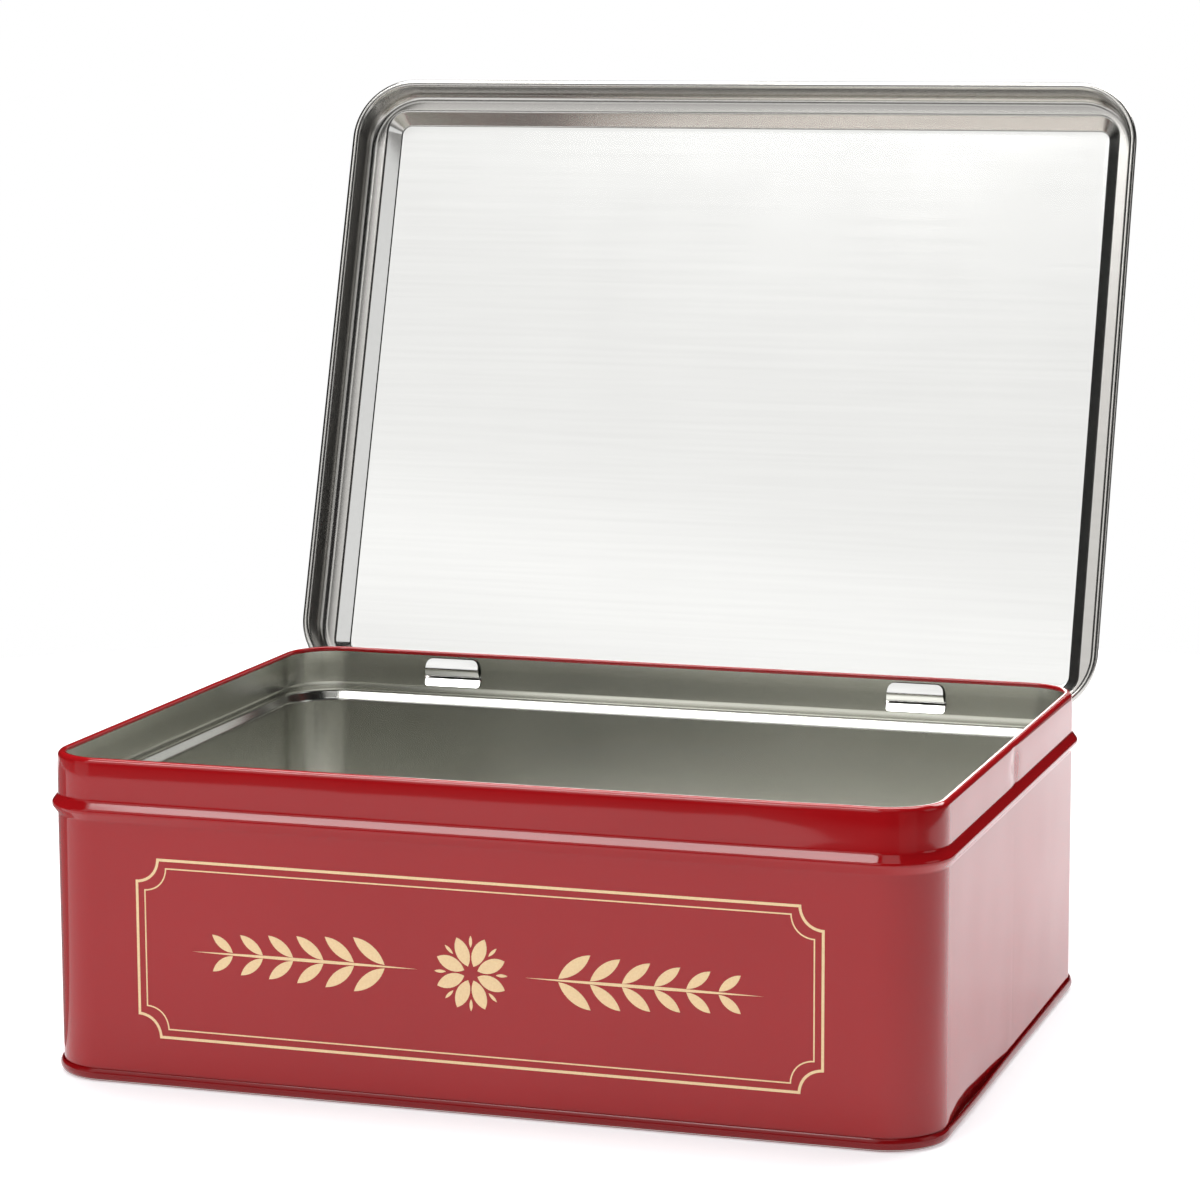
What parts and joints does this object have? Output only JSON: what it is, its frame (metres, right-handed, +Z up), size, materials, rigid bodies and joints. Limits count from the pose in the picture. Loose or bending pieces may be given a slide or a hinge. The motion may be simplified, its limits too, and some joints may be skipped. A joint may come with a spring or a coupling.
{
  "type": "hinged metal tin",
  "caption": "Rounded rectangular tinplate box with a beaded neck, rolled rim and clenched base, and a shallow lid that turns on strap hinges and opens past upright.",
  "frame": {"origin": "middle of the base plate's underside, on the surface the tin stands on", "axes": "+Z up, +Y to the hinged back, +X to the right as seen from the front; the lid is open at rest as pictured"},
  "size_m": [0.205, 0.2119, 0.2127],
  "materials": {
    "lacquered_tinplate": "gloss red lacquer over tinplate",
    "bare_tinplate": "bright bare tinplate"
  },
  "bodies": {
    "body": {"body_wall": "lacquered_tinplate", "base_plate": "lacquered_tinplate", "hinge_strap_left": "bare_tinplate", "hinge_strap_right": "bare_tinplate"},
    "lid": {"lid_shell": "bare_tinplate"}
  },
  "joints": [
    {"name": "lid_hinge", "type": "hinge", "parent": "body", "child": "lid", "pos_m": [0, 0.0776, 0.06418], "axis": [-1, 0, 0], "range_deg": [-108, 0]}
  ]
}
